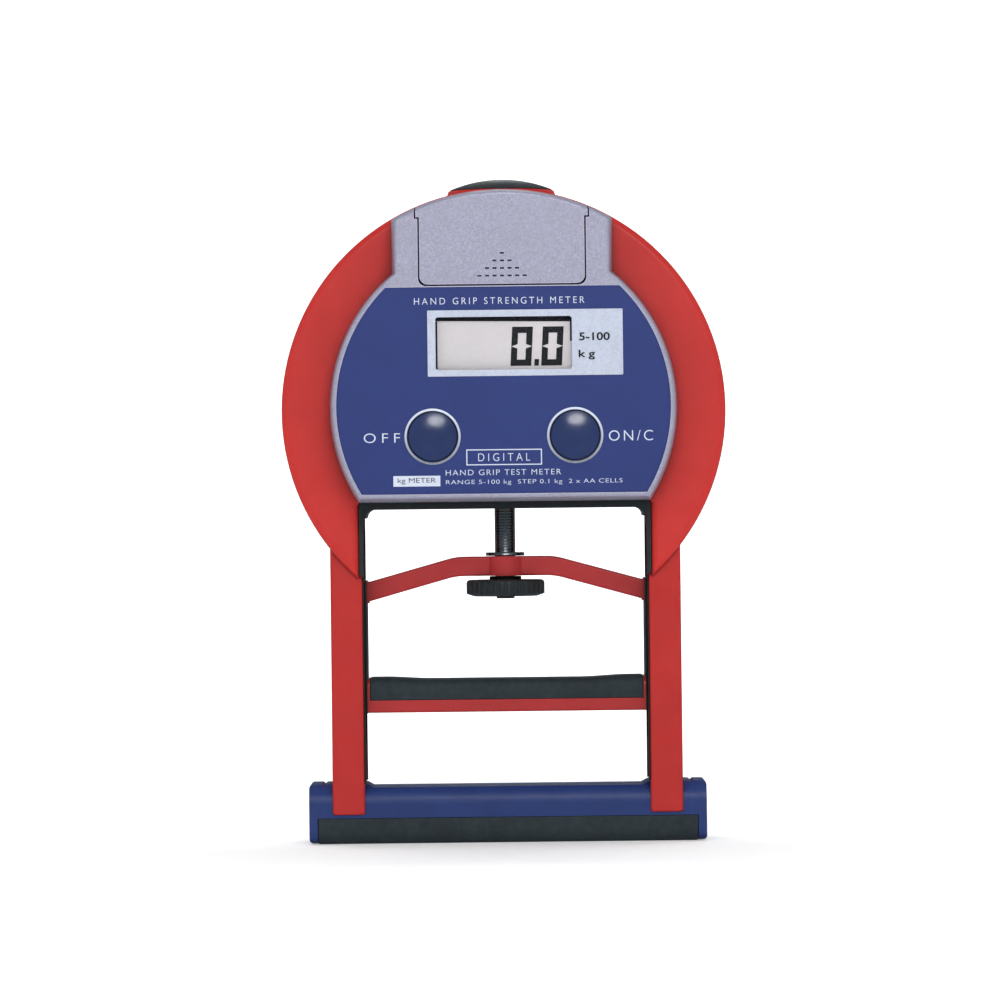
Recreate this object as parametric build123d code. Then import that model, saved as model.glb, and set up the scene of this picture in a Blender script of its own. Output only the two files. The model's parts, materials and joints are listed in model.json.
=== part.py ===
from build123d import *
import os
from math import cos, pi, radians, sin, sqrt

# Hand dynamometer, millimetres. It stands on its palm pad: Z is up, X runs along the handle,
# and -Y is the display side. The rod's axis is the Z axis.

# Driving dimensions: the round body
disc_r = 77.5
disc_z = 151.0
body_half_depth = 19.6
body_wall = 2.0
body_edge_r = 2.5
fit_gap = 0.1
slide_gap = 0.3

# The notch that the grip slides up into, and its black liner
notch_half_width = 49.45
notch_z = 116.8
notch_roof_z = 119.3
notch_corner_r = 1.5
liner_corner_r = 3.0
liner_foot = 0.8
liner_side = 1.6
liner_half_depth = 18.2

# The top cap on its red collar
collar_base_z = 215.0
collar_shoulder_z = 225.2
collar_top_z = 228.4
collar_top_r = 18.6
cap_r = 17.9
cap_edge_z = 228.9
cap_top_z = 232.5
plug_low_z = 222.0

# Cover screws, housing screws and board screws. A cross slot's half width and half length are
# shares of its head's radius.
screw_r = 1.5
head_r = 2.9
head_height = 1.8
boss_r = 3.6
slot_share = (0.13, 0.6)
cover_screw_ring = 69.5
cover_screw_angles = (5, 42, 70, 110, 138, 175)
cover_screw_tip_y = -8
housing_screws = [(40, 128), (-40, 128), (33.3, 204), (-33.3, 204)]
housing_screw_tip_y = -26
housing_boss_r = 3.2
board_screws = [(43.5, 152), (-43.5, 152), (16, 127.5), (-16, 127.5)]
board_screw_r = 1.25
board_head_r = 2.4
board_boss_r = 3.0

# The display housing and its face
front_y = -40.8
housing_back_y = -body_half_depth
housing_z = 152.2
front_wall = 3.0
side_wall = 2.0
housing_back = dict(circle_r=60.6, neck_half=38.5, top_r=77.1, bottom_z=119.3)
housing_front = dict(circle_r=59.1, neck_half=37.0, top_r=75.3, bottom_z=120.6)
housing_edge_r = 0.9
crown_r = 1.5
panel_r = 57.7
panel_bottom_z = 122.1
panel_top_z = 193.4
panel_recess = 0.3
panel_thick = 1.0

# The display
bezel_size = (67.4, 22.8)
bezel_centre = (7.7, 174.0)
window_size = (47.1, 18.3)
window_centre = (0.3, 173.9)
window_corner_r = 1.0
bezel_corner_r = 0.3
glass_recess = 1.5
glass_lap = 1.7
module_size = (54, 25)
module_back_y = -34.0
board_y = (-31.0, -29.4)

# The two buttons
button_x = 24.6
button_z = 141.9
button_r = 8.4
button_proud = 1.4
button_travel = 1.0
button_flange = 1.4
ring_r = 9.7
ring_width = 0.9

# The battery door and the two AA cells
door_half_width = 28.5
door_top_half_width = 29.7
door_bottom_z = 194.35
door_step_z = 217.65
door_gap = 0.55
door_corner_r = 2.8
cell_r = 7.25
cell_length = 50.5
cell_nub = (2.75, 1.3)
cell_z = (198.1, 212.65)
cell_y = -28.5

# The frame arms, their wear strips and bolts
arm_x = (49.9, 61.2)
arm_half_depth = 16.2
arm_wall = 1.6
arm_edge_r = 1.0
arm_bottom_z = 10.4
arm_top_z = 146.0
arm_cavity_z = (20.9, 118.0)
arm_slot_half = 10.0
strip_z = (21.3, 113.4)
strip_half_depth = 15.9
arm_bolt_z = (127, 139)
arm_bolt_tip_x = 38.0
bolt_r = 2.5
bolt_head_r = 4.25
bolt_head_height = 5.0
socket_share = 0.55
foot_screw_y = (-8, 8)
foot_screw_r = 2.0
foot_head_r = 4.0
foot_screw_top = 19.0

# The handle
handle_half_depth = 15.0
handle_low_z = 0.3
handle_z = 19.7
socket_z = 21.1
socket_slope_x = (47.2, 49.4)
cap_seam_x = 64.3
handle_end_x = 69.5
handle_edge_r = 7.0
end_r = (1.4, 1.6)
groove_depth = 0.8
pad_half_length = 66.6
pad_z = 9.2
pad_thick = 3.0
pad_side = 1.8
pad_corner_r = 4.5
handle_pocket_x = (2.0, 16.0, 18.0, 31.0, 33.0, 46.0)
handle_pocket_half = 11.0
handle_pocket_top = 17.4

# The grip: arch, bar, finger pad and legs
arch_end_x = 48.7
arch_end_z = (84.4, 91.3)
arch_mid_x = 17.3
arch_mid_z = (93.2, 100.0)
arch_bend_r = 22.0
arch_half_depth = 5.6
end_flange = 0.8
end_flange_lap = 0.3
grip_edge_r = 0.8
hub_r = 8.0
bar_z = (45.8, 50.1)
bar_half_depth = 13.0
bar_end_z = 57.6
finger_pad_z = 57.2
finger_lip = 0.7
finger_lip_x = 42.0
finger_edge_r = (0.4, 3.0)
leg_z = (45.6, 92.0)
leg_flange = 0.55
leg_web_half = 3.0
leg_inset = 0.5
shoe_height = 13.0

# The rod, the knob and the spring
rod_r = 3.6
rod_z = (87.0, 209.0)
rod_end_r = 0.8
thread_r = 3.5
thread_z = 146.0
running_gap = 0.05
knob_r = 13.75
knob_z = (86.0, 91.8)
knob_low_chamfer = (0.9, 2.6)
knob_top_r = 1.3
knob_grooves = 36
groove_r = 0.75
knob_boss = (3.15, 85.2)
washer_r = 5.6
collar_r = 6.8
collar_height = 1.2
seat_gap = 0.2
chamber_r = 14.4
chamber_bore_r = 13.0
chamber_z = (120.4, 226.5)
chamber_floor_z = 125.0
bush_r = 6.0
nut_z = (180.0, 194.0)
nut_hub_r = 7.0
seat_thick = 3.0
wire_r = 2.5
coil_r = 10.0
coil_turns = 4.8

# The travel sensor
tooth_module = 0.8
pinion_teeth = 12
pinion_centre = (30.8, 182.0)
gear_half_width = 3.0
code_disc_r = 12.0
code_disc_y = (6.0, 6.8)
code_slots = 40
code_slot = (2.2, 0.7)
code_slot_inset = 1.8
axle_y = (-10.0, 12.0)
axle_r = 1.5
backlash = 0.3
tooth_slope = 0.36
rack_teeth = range(-3, 5)
rack_arm_z = (184.0, 190.0)
rack_body_z = (172.0, 197.0)
rack_thick = 2.0
bracket_x = (24.0, 49.0)
bracket_thick = 3.0
bracket_cheek_x = (26.0, 36.0)
bracket_cheek_y = ((-9.0, -7.0), (9.0, 11.0))
bracket_top_z = 188.0
gate_x = (40.0, 43.6, 46.5)
gate_y = (3.0, 10.0)
gate_slot_y = (5.2, 7.6)
gate_z = (177.5, 186.5)
sensor_board_x = (46.5, 48.1)
sensor_board_y = (-6.0, 11.0)
sensor_board_top_z = 194.0
cable_hole = (43.5, 160.5)
cable_hole_r = 6.0
cable_size = (0.9, 5.0)
cable_bend_r = 2.5
cable_y = -2.0

# Electronics behind the display
switch_y = -33.7
switch_half = 3.0
board_r = 51.0
board_size = (96.0, 65.0)
board_centre_z = 156.5
chip_height = 1.6
large_chip = ((-8, 6), (150, 164))
small_chip = ((16, 26), (168, 174))
capacitor_place = (-24, 170)
capacitor_r = 3.2
capacitor_height = 5.9

# The battery tray, the contacts and the door's tongue and finger slots
tray_x = 28.6
tray_wall = 1.2
tray_z = (189.5, 215.0)
tray_y = (-35.9, -21.2)
contact_half = 5.0
contact_thick = 0.5
contact_wire_r = 0.25
contact_rings = (4.4, 3.6, 2.8)
contact_pitch = 0.53
tongue_thick = 1.1
tongue_top_z = 212.0
dash_pitch = 2.6
dash_rows = 4
dash_top_z = 205.0
dash_size = (1.5, 0.7)
dash_depth = 0.8

nodes = {}


def block(x, y, z):
    """A box between two limits on each axis."""
    size = Box(x[1] - x[0], y[1] - y[0], z[1] - z[0])
    return Pos((x[0] + x[1]) / 2, (y[0] + y[1]) / 2, (z[0] + z[1]) / 2) * size


def rod_along_z(radius, z, x=0, y=0):
    return Pos(x, y, (z[0] + z[1]) / 2) * Cylinder(radius, z[1] - z[0])


def rod_along_y(radius, y, x, z):
    return Pos(x, (y[0] + y[1]) / 2, z) * Rot(90, 0, 0) * Cylinder(radius, y[1] - y[0])


def rod_along_x(radius, x, y, z):
    return Pos((x[0] + x[1]) / 2, y, z) * Rot(0, 90, 0) * Cylinder(radius, x[1] - x[0])


def plate(outline, front, back):
    """An outline drawn in X and Z, as a plate between two Y values."""
    return extrude(Plane.XZ.offset(-back) * outline, back - front)


def mirrored(shape):
    """The same shape on the other side of the middle plane."""
    return mirror(shape, about=Plane.YZ)


def pair(shape):
    return Compound([shape, mirrored(shape)])


# ---------------------------------------------------------------- round body
def disc_outline():
    disc = Pos(0, disc_z) * Circle(disc_r)
    notch = Pos(0, notch_roof_z - disc_r / 2) * Rectangle(2 * (notch_half_width + liner_side), disc_r)
    outline = disc - notch
    corners = [v for v in outline.vertices() if abs(v.Y - notch_roof_z) < 1]
    return fillet(corners, notch_corner_r)


outline = disc_outline()
casing = plate(outline, -body_half_depth, body_half_depth)
flat_faces = casing.faces().sort_by(Axis.Y)
casing = fillet(flat_faces[0].edges() + flat_faces[-1].edges(), body_edge_r)
hollow_depth = body_half_depth - body_wall
casing -= plate(offset(outline, -body_wall), -hollow_depth, hollow_depth)

top_z = cap_top_z + 10
casing += rod_along_z(body_half_depth, (collar_base_z, collar_shoulder_z))
collar_slope = Cone(body_half_depth, collar_top_r, collar_top_z - collar_shoulder_z)
casing += Pos(0, 0, (collar_shoulder_z + collar_top_z) / 2) * collar_slope
collar_width = (-body_half_depth, body_half_depth)
casing -= block(collar_width, collar_width, (collar_top_z, top_z))
casing -= rod_along_z(chamber_r + fit_gap, (chamber_z[0], top_z))
casing -= rod_along_z(bush_r + fit_gap, (notch_z, chamber_z[0]))
arm_room = block(
    (notch_half_width - fit_gap, arm_x[1] + fit_gap),
    (-arm_half_depth - fit_gap, arm_half_depth + fit_gap),
    (0, arm_top_z + fit_gap),
)
casing -= pair(arm_room)

front_half = block((-disc_r, disc_r), (-body_half_depth, 0), (0, top_z))
rear_half = block((-disc_r, disc_r), (0, body_half_depth), (0, top_z))


def cover_screw_places():
    for angle in cover_screw_angles:
        x = cover_screw_ring * cos(radians(angle))
        z = disc_z + cover_screw_ring * sin(radians(angle))
        yield x, z


front_cover = casing & front_half
rear_cover = casing & rear_half
for x, z in cover_screw_places():
    front_cover += rod_along_y(boss_r, (-hollow_depth, 0), x, z)
    front_cover -= rod_along_y(screw_r, (cover_screw_tip_y - 2, 0), x, z)
    rear_cover += rod_along_y(boss_r, (0, hollow_depth), x, z)
    rear_cover -= rod_along_y(screw_r + fit_gap, (0, body_half_depth), x, z)
    rear_cover -= rod_along_y(head_r + fit_gap, (hollow_depth, body_half_depth), x, z)

# A cable hole and four screw holes lead from the front cover into the housing.
front_wall_y = (-body_half_depth, -hollow_depth)
front_cover -= rod_along_y(cable_hole_r, front_wall_y, *cable_hole)
for x, z in housing_screws:
    front_cover -= rod_along_y(screw_r, front_wall_y, x, z)

nodes["front_cover"] = front_cover
nodes["rear_cover"] = rear_cover


def notch_liner():
    """A black channel that lines the notch's roof, and its sides in front of and behind the arms."""
    low_z = notch_z - liner_corner_r
    inner_half = notch_half_width - fit_gap - liner_foot
    outer_half = notch_half_width + liner_side - fit_gap
    strip = Pos(0, notch_roof_z - disc_r / 2) * Rectangle(2 * outer_half, disc_r)
    strip = fillet([v for v in strip.vertices() if v.Y > notch_z], notch_corner_r)
    room = Pos(0, notch_z - disc_r / 2) * Rectangle(2 * inner_half, disc_r)
    room = fillet([v for v in room.vertices() if v.Y > low_z], liner_corner_r)
    wide_room = Pos(0, low_z - disc_r / 2) * Rectangle(2 * (notch_half_width + fit_gap), disc_r)
    inside_disc = Pos(0, disc_z) * Circle(disc_r - body_edge_r / 2)
    outline = (strip & inside_disc) - room - wide_room
    liner = plate(outline, -liner_half_depth, liner_half_depth) - pair(arm_room)
    return liner - rod_along_z(bush_r + fit_gap, (low_z, notch_roof_z))


nodes["notch_liner"] = notch_liner()


def screw_along_y(seat_y, tip_y, x, z, head=head_r, shank=screw_r):
    """A pan-head screw with a cross slot, its head seated at seat_y and its tip towards -Y."""
    slot_depth = head_height / 2
    slot_half_width = head * slot_share[0]
    slot_half_length = head * slot_share[1]
    head_y = seat_y + head_height
    screw = rod_along_y(head, (seat_y, head_y), x, z) + rod_along_y(shank, (tip_y, seat_y), x, z)
    long_way = (-slot_half_length, slot_half_length)
    short_way = (-slot_half_width, slot_half_width)
    for across, up in ((long_way, short_way), (short_way, long_way)):
        screw -= block((x + across[0], x + across[1]), (head_y - slot_depth, head_y), (z + up[0], z + up[1]))
    return screw


nodes["cover_screws"] = Compound(
    [screw_along_y(hollow_depth, cover_screw_tip_y, x, z) for x, z in cover_screw_places()]
)
nodes["housing_screws"] = Compound(
    [screw_along_y(-hollow_depth, housing_screw_tip_y, x, z) for x, z in housing_screws]
)

# Top cap: a shallow dome whose plug closes the spring chamber.
cap_rise = cap_top_z - cap_edge_z
sphere_r = (cap_r**2 + cap_rise**2) / (2 * cap_rise)
cap_mid_x = cap_r / 2
cap_mid_z = cap_top_z - sphere_r + sqrt(sphere_r**2 - cap_mid_x**2)
cap_side = [(0, collar_top_z), (cap_r, collar_top_z), (cap_r, cap_edge_z)]
cap_edges = [
    Line(cap_side[0], cap_side[1]),
    Line(cap_side[1], cap_side[2]),
    ThreePointArc(cap_side[2], (cap_mid_x, cap_mid_z), (0, cap_top_z)),
    Line((0, cap_top_z), cap_side[0]),
]
cap_dome = revolve(Plane.XZ * make_face(Curve() + cap_edges), Axis.Z)
nodes["top_cap"] = cap_dome + rod_along_z(chamber_bore_r, (plug_low_z, collar_top_z))

# ---------------------------------------------------------------- frame arms
foot_screw_x = (arm_x[0] + arm_x[1]) / 2
beam_half_depth = 7.0
beam_z = (122.2, arm_top_z)


def arm():
    """A channel that opens towards the grip, with solid ends and two pockets at its top."""
    shape = block(arm_x, (-arm_half_depth, arm_half_depth), (arm_bottom_z, arm_top_z))
    shape = fillet(shape.edges().filter_by(Axis.Z), arm_edge_r)
    shape = chamfer(shape.faces().sort_by(Axis.Z)[0].edges(), arm_edge_r / 2)
    cavity_x = (arm_x[0] + arm_wall, arm_x[1] - arm_wall)
    cavity_half = arm_half_depth - arm_wall
    shape -= block(cavity_x, (-cavity_half, cavity_half), arm_cavity_z)
    shape -= block((arm_x[0], cavity_x[0]), (-arm_slot_half, arm_slot_half), arm_cavity_z)
    for side in (-1, 1):
        pocket_y = sorted((side * (beam_half_depth + arm_wall), side * cavity_half))
        shape -= block((arm_x[0], cavity_x[1]), pocket_y, (beam_z[0], arm_top_z - arm_wall))
    for z in arm_bolt_z:
        shape -= rod_along_x(bolt_r, arm_x, 0, z)
    for y in foot_screw_y:
        shape -= rod_along_z(foot_screw_r, (arm_bottom_z, foot_screw_top), foot_screw_x, y)
    return shape


nodes["right_arm"] = arm()
nodes["left_arm"] = mirrored(nodes["right_arm"])


def wear_strip():
    """A thin black strip on the arm's inner face, slotted where the guide shoes run."""
    strip_x = (notch_half_width, arm_x[0])
    slot_z = (strip_z[0], strip_z[1] - leg_web_half)
    strip = block(strip_x, (-strip_half_depth, strip_half_depth), strip_z)
    return strip - block(strip_x, (-arm_slot_half, arm_slot_half), slot_z)


nodes["right_wear_strip"] = wear_strip()
nodes["left_wear_strip"] = mirrored(nodes["right_wear_strip"])


def arm_bolt(z):
    """A socket-head bolt along X, through the arm and into the chassis."""
    head_x = (arm_x[1], arm_x[1] + bolt_head_height)
    bolt = rod_along_x(bolt_r, (arm_bolt_tip_x, arm_x[1]), 0, z) + rod_along_x(bolt_head_r, head_x, 0, z)
    socket = Pos(0, z) * RegularPolygon(bolt_head_r * socket_share, 6)
    socket_depth = bolt_head_height / 2
    return bolt - extrude(Plane.YZ.offset(head_x[1] - socket_depth) * socket, socket_depth)


arm_bolts = Compound([arm_bolt(z) for z in arm_bolt_z])
nodes["arm_bolts"] = pair(arm_bolts)

# ---------------------------------------------------------------- chassis
rack_slot_half = gear_half_width + 2 * slide_gap
rack_slot_z = (175.0, 193.0)
beam_web_half = 2.0
beam_flange = 3.0
beam_pocket_x = (chamber_r + beam_flange, arm_bolt_tip_x - 2)
beam_pocket_z = (beam_z[0] + beam_flange, beam_z[1] - beam_flange)

chassis = rod_along_z(chamber_r, chamber_z)
beam = block((fit_gap - arm_x[0], arm_x[0] - fit_gap), (-beam_half_depth, beam_half_depth), beam_z)
for pocket_y in ((-beam_half_depth, -beam_web_half), (beam_web_half, beam_half_depth)):
    beam -= pair(block(beam_pocket_x, pocket_y, beam_pocket_z))
chassis += beam
chassis -= rod_along_z(chamber_bore_r, (chamber_floor_z, chamber_z[1]))
chassis -= rod_along_z(bush_r, (chamber_z[0], chamber_floor_z))
chassis -= block((nut_hub_r, chamber_r + 1), (-rack_slot_half, rack_slot_half), rack_slot_z)
for z in arm_bolt_z:
    chassis -= pair(rod_along_x(bolt_r, (arm_bolt_tip_x, arm_x[0]), 0, z))
nodes["chassis"] = chassis

bush_z = (notch_z + seat_gap, chamber_floor_z)
nodes["guide_bush"] = rod_along_z(bush_r, bush_z) - rod_along_z(rod_r + running_gap, bush_z)

# ---------------------------------------------------------------- handle
def handle_section(half_depth, low_z, high_z, low_r, high_r):
    """A cross-section in Y and Z, with rounded corners."""
    middle_z = (low_z + high_z) / 2
    shape = Pos(0, middle_z) * Rectangle(2 * half_depth, high_z - low_z)
    shape = fillet([v for v in shape.vertices() if v.Y < middle_z], low_r)
    return fillet([v for v in shape.vertices() if v.Y > high_z - fit_gap], high_r)


def along_handle(section, x):
    return extrude(Plane.YZ.offset(x[0]) * section, x[1] - x[0])


deep = (-handle_half_depth, handle_half_depth)
full_bar = along_handle(
    handle_section(handle_half_depth, handle_low_z, socket_z, pad_corner_r, handle_edge_r),
    (-handle_end_x, handle_end_x),
)
half_profile = [
    (0, handle_low_z),
    (cap_seam_x, handle_low_z),
    (cap_seam_x, socket_z - groove_depth),
    (cap_seam_x - groove_depth, socket_z),
    (socket_slope_x[1], socket_z),
    (socket_slope_x[0], handle_z),
    (0, handle_z),
]
half_sketch = make_face(Polyline(*half_profile, close=True))
handle = full_bar & plate(half_sketch + mirror(half_sketch, about=Plane.YZ), *deep)

# The pad wraps the handle's underside, so the handle is narrower there.
pad_inner_half = handle_half_depth - pad_side
pad_length = (-pad_half_length, pad_half_length)
pad_core = block(pad_length, (-pad_inner_half, pad_inner_half), (pad_thick, pad_z))
pad_room = block(pad_length, deep, (0, pad_z)) - pad_core
handle -= pad_room

# Pockets in the underside, closed by the pad, keep the handle light.
pocket_z = (pad_thick, handle_pocket_top)
for low_x, high_x in zip(handle_pocket_x[::2], handle_pocket_x[1::2]):
    handle -= pair(block((low_x, high_x), (-handle_pocket_half, handle_pocket_half), pocket_z))

handle -= pair(block(arm_x, (-arm_half_depth, arm_half_depth), (arm_bottom_z, socket_z)))
foot_head_z = (pad_thick, 2 * pad_thick)
for y in foot_screw_y:
    handle -= pair(rod_along_z(foot_screw_r, (pad_thick, arm_bottom_z), foot_screw_x, y))
    handle -= pair(rod_along_z(foot_head_r, foot_head_z, foot_screw_x, y))
nodes["lower_handle"] = handle


def foot_screw(y):
    screw = rod_along_z(foot_head_r, foot_head_z, foot_screw_x, y)
    return screw + rod_along_z(foot_screw_r, (foot_head_z[1], foot_screw_top), foot_screw_x, y)


nodes["foot_screws"] = pair(Compound([foot_screw(y) for y in foot_screw_y]))

pad_section = handle_section(handle_half_depth, 0, socket_z, pad_corner_r, handle_edge_r)
palm_pad = along_handle(pad_section, pad_length)
nodes["palm_pad"] = (palm_pad & block(pad_length, deep, (0, pad_z))) - pad_core

cap_profile = [
    (cap_seam_x, handle_low_z),
    (handle_end_x, handle_low_z),
    (handle_end_x, socket_z),
    (cap_seam_x + groove_depth, socket_z),
    (cap_seam_x, socket_z - groove_depth),
]
cap_side_face = make_face(Polyline(*cap_profile, close=True))
outer_corners = cap_side_face.vertices().filter_by_position(Axis.X, handle_end_x - 1, handle_end_x + 1)
for corner, radius in zip(outer_corners.sort_by(Axis.Y), end_r):
    near = cap_side_face.vertices().sort_by_distance(corner)[0]
    cap_side_face = fillet([near], radius)
end_cap = (full_bar & plate(cap_side_face, *deep)) - pad_room
nodes["right_end_cap"] = end_cap
nodes["left_end_cap"] = mirrored(end_cap)

# ---------------------------------------------------------------- grip
def softened(shape, radius):
    """The plate with its front and back edges rounded."""
    ends = shape.faces().sort_by(Axis.Y)
    return fillet(ends[0].edges() + ends[-1].edges(), radius)


arch_half = [
    (0, arch_mid_z[0]),
    (arch_mid_x, arch_mid_z[0]),
    (arch_end_x, arch_end_z[0]),
    (arch_end_x, arch_end_z[1]),
    (arch_mid_x, arch_mid_z[1]),
    (0, arch_mid_z[1]),
]
arch_side = make_face(Polyline(*arch_half, close=True))
arch_side = arch_side + mirror(arch_side, about=Plane.YZ)
arch_side = fillet([v for v in arch_side.vertices() if 1 < abs(v.X) < arch_end_x - 1], arch_bend_r)
arch = softened(plate(arch_side, -arch_half_depth, arch_half_depth), grip_edge_r)
arch += rod_along_z(hub_r, arch_mid_z)
arch -= rod_along_z(rod_r + running_gap, arch_mid_z)

# A thin flange at each end of the arch and of the bar meets the leg.
end_flange_x = (arch_end_x - end_flange, arch_end_x)
arch_flange_half = arch_half_depth + end_flange_lap
arch_flange_z = (arch_end_z[0] - end_flange_lap, arch_end_z[1] + end_flange_lap)
arch += pair(block(end_flange_x, (-arch_flange_half, arch_flange_half), arch_flange_z))
nodes["arch"] = arch

bar = block((-arch_end_x, arch_end_x), (-bar_half_depth, bar_half_depth), bar_z)
bar_low_edges = bar.faces().sort_by(Axis.Z)[0].edges().filter_by(Axis.X)
bar_flange = handle_section(bar_half_depth, bar_z[0], bar_end_z, grip_edge_r, finger_edge_r[1])
nodes["grip_bar"] = fillet(bar_low_edges, grip_edge_r) + pair(along_handle(bar_flange, end_flange_x))

finger_profile = [
    (0, bar_z[1]),
    (end_flange_x[0], bar_z[1]),
    (end_flange_x[0], finger_pad_z + finger_lip),
    (finger_lip_x + 2 * finger_lip, finger_pad_z + finger_lip),
    (finger_lip_x, finger_pad_z),
    (0, finger_pad_z),
]
finger_side = make_face(Polyline(*finger_profile, close=True))
finger_pad = plate(finger_side + mirror(finger_side, about=Plane.YZ), -bar_half_depth, bar_half_depth)
finger_section = handle_section(bar_half_depth, bar_z[1], finger_pad_z + finger_lip, *finger_edge_r)
finger_pad_x = (-end_flange_x[0], end_flange_x[0])
nodes["finger_pad"] = finger_pad & along_handle(finger_section, finger_pad_x)

leg_x = (arch_end_x, arch_end_x + leg_flange)
flange_half = bar_half_depth - leg_inset
web_x = (leg_x[1], arm_x[1] - arm_wall - slide_gap - leg_inset)
leg_web = block(web_x, (-leg_web_half, leg_web_half), leg_z)
nodes["right_leg"] = block(leg_x, (-flange_half, flange_half), leg_z) + leg_web
nodes["left_leg"] = mirrored(nodes["right_leg"])


def guide_shoe(low_z):
    """A nylon block round the leg's web that runs in the arm's channel and slot."""
    z = (low_z, low_z + shoe_height)
    block_x = (arm_x[0] + arm_wall + slide_gap, arm_x[1] - arm_wall - slide_gap)
    half = arm_half_depth - arm_wall - slide_gap
    neck_half = arm_slot_half - slide_gap
    shoe = block(block_x, (-half, half), z)
    shoe += block((leg_x[1], block_x[0]), (-neck_half, neck_half), z)
    return shoe - leg_web


shoe_low_z = (leg_z[0], leg_z[1] - shoe_height)
nodes["right_guide_shoes"] = Compound([guide_shoe(z) for z in shoe_low_z])
nodes["left_guide_shoes"] = mirrored(nodes["right_guide_shoes"])

# ---------------------------------------------------------------- rod and knob
rod = rod_along_z(rod_r, (rod_z[0], thread_z)) + rod_along_z(thread_r, (thread_z, rod_z[1]))
rod_ends = [rod.faces().sort_by(Axis.Z)[k].edges() for k in (0, -1)]
nodes["adjusting_rod"] = chamfer(rod_ends[0] + rod_ends[1], rod_end_r / 2)

knob = rod_along_z(knob_r, knob_z)
knob = chamfer(knob.faces().sort_by(Axis.Z)[0].edges(), *knob_low_chamfer)
knob = fillet(knob.faces().sort_by(Axis.Z)[-1].edges(), knob_top_r)
groove_ring = knob_r + groove_r / 2
for k in range(knob_grooves):
    angle = 2 * pi * k / knob_grooves
    knob -= rod_along_z(groove_r, knob_z, groove_ring * cos(angle), groove_ring * sin(angle))
knob += rod_along_z(knob_boss[0], (knob_boss[1], knob_z[0]))
knob -= rod_along_z(rod_r, (rod_z[0], knob_z[1]))
nodes["adjusting_knob"] = knob


def rod_ring(radius, z):
    return rod_along_z(radius, z) - rod_along_z(rod_r, z)


collar_low_z = arch_mid_z[1] + seat_gap
nodes["thrust_washer"] = rod_ring(washer_r, (knob_z[1], arch_mid_z[0] - seat_gap))
nodes["rod_collar"] = rod_ring(collar_r, (collar_low_z, collar_low_z + collar_height))

# ---------------------------------------------------------------- spring and nut
seat_z = (nut_z[0], nut_z[0] + seat_thick)
nut = rod_along_z(chamber_bore_r - slide_gap, seat_z) + rod_along_z(nut_hub_r, nut_z)
nodes["pull_nut"] = nut - rod_along_z(thread_r + running_gap, nut_z)

spring_low_z = chamber_floor_z + wire_r + running_gap
spring_height = nut_z[0] - wire_r - running_gap - spring_low_z
helix = Helix(spring_height / coil_turns, spring_height, coil_r)
wire_plane = Plane(origin=helix @ 0, z_dir=helix % 0)
spring = sweep(wire_plane * Circle(wire_r), path=helix, is_frenet=True)
nodes["main_spring"] = Pos(0, 0, spring_low_z) * spring

# ---------------------------------------------------------------- travel sensor
pitch_r = tooth_module * pinion_teeth / 2
tooth_pitch = pi * tooth_module
addendum = 0.7 * tooth_module
dedendum = tooth_module
half_tooth = tooth_pitch / 4 - backlash / 4
gear_y = (-gear_half_width, gear_half_width)


def tooth(root, tip):
    """A straight-sided tooth along X from root to tip, both measured from the pitch line."""
    root_half = half_tooth - tooth_slope * root
    tip_half = half_tooth - tooth_slope * tip
    return Polyline((root, -root_half), (tip, -tip_half), (tip, tip_half), (root, root_half), close=True)


rack_pitch_x = pinion_centre[0] - pitch_r
rack_body_x = (rack_pitch_x - dedendum - rack_thick, rack_pitch_x - dedendum)

rack = block(rack_body_x, gear_y, rack_body_z)
for k in rack_teeth:
    place = Pos(rack_pitch_x, pinion_centre[1] + (k + 0.5) * tooth_pitch)
    rack += plate(place * make_face(tooth(-dedendum, addendum)), *gear_y)
rack += block((nut_hub_r, rack_body_x[0]), gear_y, rack_arm_z)
nodes["sensor_rack"] = rack - rod_along_z(nut_hub_r, nut_z)

pinion_root = pitch_r - dedendum
pinion = rod_along_y(pinion_root, gear_y, *pinion_centre)
for k in range(pinion_teeth):
    place = Pos(*pinion_centre) * Rot(0, 0, 360 * k / pinion_teeth) * Pos(pitch_r, 0)
    pinion += plate(place * make_face(tooth(-dedendum - fit_gap, addendum)), *gear_y)
pinion += rod_along_y(2 * axle_r, (gear_half_width, code_disc_y[0]), *pinion_centre)
nodes["sensor_pinion"] = pinion - rod_along_y(axle_r, (gear_y[0], code_disc_y[0]), *pinion_centre)
nodes["sensor_axle"] = rod_along_y(axle_r, axle_y, *pinion_centre)

code_disc = rod_along_y(code_disc_r, code_disc_y, *pinion_centre)
code_disc -= rod_along_y(axle_r, code_disc_y, *pinion_centre)
code_disc_middle = Pos(pinion_centre[0], sum(code_disc_y) / 2, pinion_centre[1])
for k in range(code_slots):
    turn = Rot(0, -360 * k / code_slots, 0)
    place = code_disc_middle * turn * Pos(code_disc_r - code_slot_inset, 0, 0)
    code_disc -= place * Box(code_slot[0], code_disc_y[1] - code_disc_y[0], code_slot[1])
nodes["code_disc"] = code_disc

bracket_z = (beam_z[1], beam_z[1] + bracket_thick)
bracket = block(bracket_x, (bracket_cheek_y[0][0], bracket_cheek_y[1][1]), bracket_z)
for y in bracket_cheek_y:
    bracket += block(bracket_cheek_x, y, (bracket_z[1], bracket_top_z))
bracket -= rod_along_y(axle_r + running_gap, axle_y, *pinion_centre)
nodes["sensor_bracket"] = bracket

fork = block((gate_x[0], gate_x[2]), gate_y, gate_z)
nodes["light_gate"] = fork - block((gate_x[0], gate_x[1]), gate_slot_y, gate_z)
nodes["sensor_board"] = block(sensor_board_x, sensor_board_y, (bracket_z[1], sensor_board_top_z))

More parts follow.
